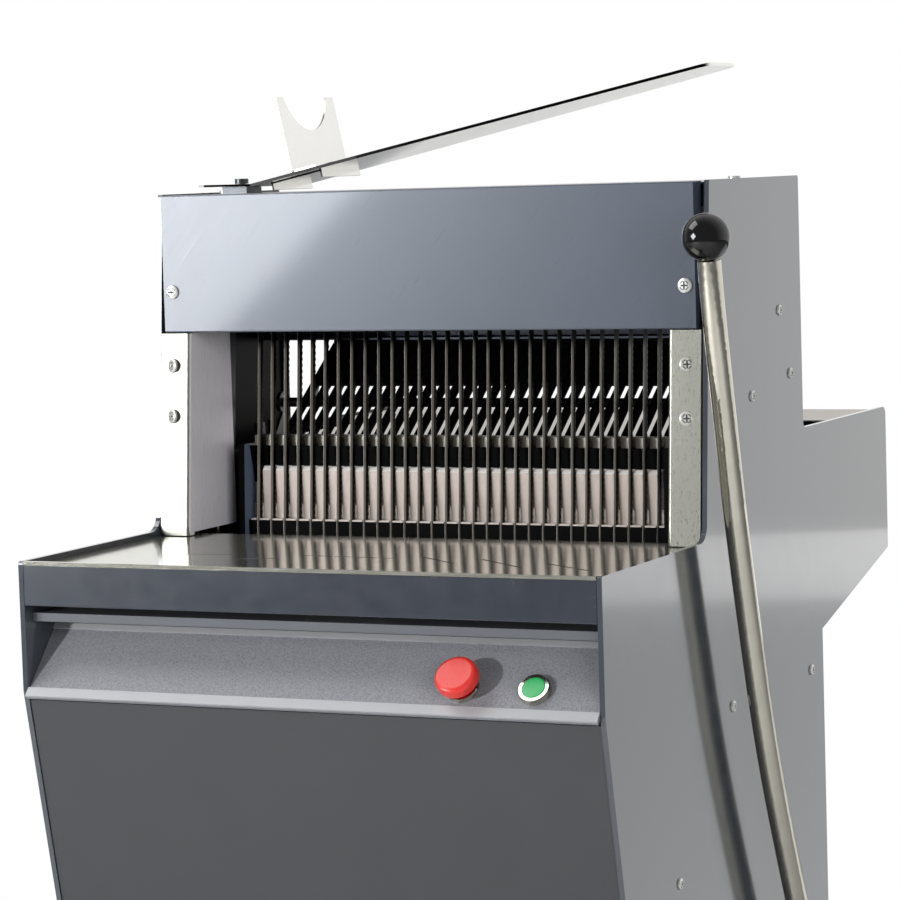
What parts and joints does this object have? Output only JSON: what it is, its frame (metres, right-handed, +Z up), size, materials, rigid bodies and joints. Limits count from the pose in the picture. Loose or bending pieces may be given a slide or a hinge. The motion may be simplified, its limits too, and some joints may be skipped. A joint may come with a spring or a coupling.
{
  "type": "bread slicer",
  "caption": "Floor-standing bread slicer: two reciprocating blade frames behind a mouth over a steel table, hand lever and pusher, control strip, bagging tray, crumb drawer.",
  "frame": {"origin": "on the floor under the middle of the whole machine's outer box", "axes": "+Z up, +X to the right of the user who stands at -Y facing the machine, +Y to the rear where the infeed end reaches out"},
  "size_m": [0.6437, 0.8239, 1.3094],
  "materials": {
    "body_paint": "satin dark blue-grey powder coat",
    "panel_paint": "satin dark grey powder coat",
    "frame_paint": "satin dark grey paint",
    "stainless": "brushed stainless steel",
    "polished_steel": "polished stainless steel",
    "steel": "ground steel",
    "blade_steel": "polished blade steel",
    "chrome": "chrome plated, polished",
    "screw_zinc": "bright zinc plated",
    "anthracite": "fine grained dark grey",
    "trim_silver": "satin anodised",
    "estop_red": "glossy red",
    "start_green": "glossy green",
    "black_plastic": "matt black",
    "ball_black": "glossy black",
    "pusher_black": "satin black coating",
    "comb_alu": "satin anodised",
    "cast": "machined grey iron",
    "motor_alu": "painted aluminium housing",
    "rubber": "matt black rubber",
    "wheel_grey": "dark grey nylon",
    "tray_steel": "satin stainless steel"
  },
  "bodies": {
    "machine": {"side_plate_left": "body_paint", "side_plate_right": "body_paint", "side_screws": "screw_zinc", "front_cover": "body_paint", "roof_panel": "body_paint", "rear_cover": "body_paint", "upright_left": "stainless", "upright_right": "stainless", "front_screws": "screw_zinc", "roof_screws": "screw_zinc", "table_top": "polished_steel", "apron": "body_paint", "recess_panel": "black_plastic", "control_panel": "anthracite", "panel_trims": "trim_silver", "switch_bezels": "chrome", "contact_blocks": "black_plastic", "front_panel": "panel_paint", "rear_panel": "panel_paint", "rear_housing": "body_paint", "base_pan": "frame_paint", "control_box": "black_plastic", "drawer_runners": "stainless", "front_feet": "rubber", "wheel_forks": "screw_zinc", "infeed_bed": "stainless", "bed_supports": "frame_paint", "front_comb": "comb_alu", "blade_guards": "pusher_black", "comb_cheeks": "body_paint", "guide_columns": "chrome", "column_brackets": "frame_paint", "crank_bearings": "cast", "drive_beam": "frame_paint", "motor": "motor_alu", "motor_plate": "frame_paint", "drive_belt": "rubber", "lever_bearings": "cast", "carriage_rails": "chrome", "tray_pivot": "steel"},
    "frame_a": {"blade_frame_a": "steel", "blades_a": "blade_steel"},
    "frame_b": {"blade_frame_b": "steel", "blades_b": "blade_steel"},
    "crank": {"crankshaft": "steel", "crank_pulley": "cast"},
    "motor_shaft": {"motor_pulley": "cast"},
    "lever": {"lever_shaft": "steel", "lever_bar": "chrome", "lever_ball": "ball_black"},
    "pusher": {"pusher_carriage": "steel", "pusher_plate": "pusher_black"},
    "tray": {"bag_tray": "tray_steel", "tray_stop": "tray_steel"},
    "estop": {"estop_button": "estop_red"},
    "start": {"start_button": "start_green"},
    "drawer": {"crumb_drawer": "stainless", "drawer_front": "panel_paint"},
    "wheel_left": {"wheel_left": "wheel_grey"},
    "wheel_right": {"wheel_right": "wheel_grey"}
  },
  "joints": [
    {"name": "blade_frame_a_stroke", "type": "slide", "parent": "machine", "child": "frame_a", "axis": [0, 0.0835, 0.9965], "range_m": [-0.01607, 0.01607]},
    {"name": "blade_frame_b_stroke", "type": "slide", "parent": "machine", "child": "frame_b", "axis": [0, 0.0835, 0.9965], "range_m": [-0.0161, 0.0161]},
    {"name": "crank_turn", "type": "hinge", "parent": "machine", "child": "crank", "pos_m": [-0.02235, -0.08177, 0.65068], "axis": [1, 0, 0], "range_deg": [-45.2, 45.2]},
    {"name": "motor_turn", "type": "hinge", "parent": "machine", "child": "motor_shaft", "pos_m": [-0.02235, -0.1214, 0.33], "axis": [1, 0, 0], "range_deg": [-90, 90]},
    {"name": "lever_swing", "type": "hinge", "parent": "machine", "child": "lever", "pos_m": [-0.02235, 0.0406, 0.435], "axis": [-1, 0, 0], "range_deg": [0, 21.9]},
    {"name": "pusher_travel", "type": "slide", "parent": "machine", "child": "pusher", "axis": [0, 1, 0], "range_m": [0, 0.1889]},
    {"name": "tray_swing", "type": "hinge", "parent": "machine", "child": "tray", "pos_m": [-0.26035, -0.0394, 1.206], "axis": [0, 0, 1], "range_deg": [-90, 0]},
    {"name": "estop_press", "type": "slide", "parent": "machine", "child": "estop", "axis": [0, 0.7302, -0.6833], "range_m": [0, 0.004], "stiffness_N_per_m": 800},
    {"name": "start_press", "type": "slide", "parent": "machine", "child": "start", "axis": [0, 0.7302, -0.6833], "range_m": [0, 0.003], "stiffness_N_per_m": 500},
    {"name": "drawer_slide", "type": "slide", "parent": "machine", "child": "drawer", "axis": [0, -1, 0], "range_m": [0, 0.3]},
    {"name": "wheel_left_roll", "type": "hinge", "parent": "machine", "child": "wheel_left", "pos_m": [-0.27235, 0.1436, 0.0375], "axis": [1, 0, 0], "continuous": true},
    {"name": "wheel_right_roll", "type": "hinge", "parent": "machine", "child": "wheel_right", "pos_m": [0.22765, 0.1436, 0.0375], "axis": [1, 0, 0], "continuous": true}
  ],
  "couplings": [
    {"joint": "blade_frame_b_stroke", "follows": "blade_frame_a_stroke", "ratio": -1},
    {"joint": "crank_turn", "follows": "blade_frame_a_stroke", "rad_per_m": -48.88},
    {"joint": "motor_turn", "follows": "blade_frame_a_stroke", "rad_per_m": -97.07},
    {"joint": "pusher_travel", "follows": "lever_swing", "m_per_rad": 0.49395}
  ]
}
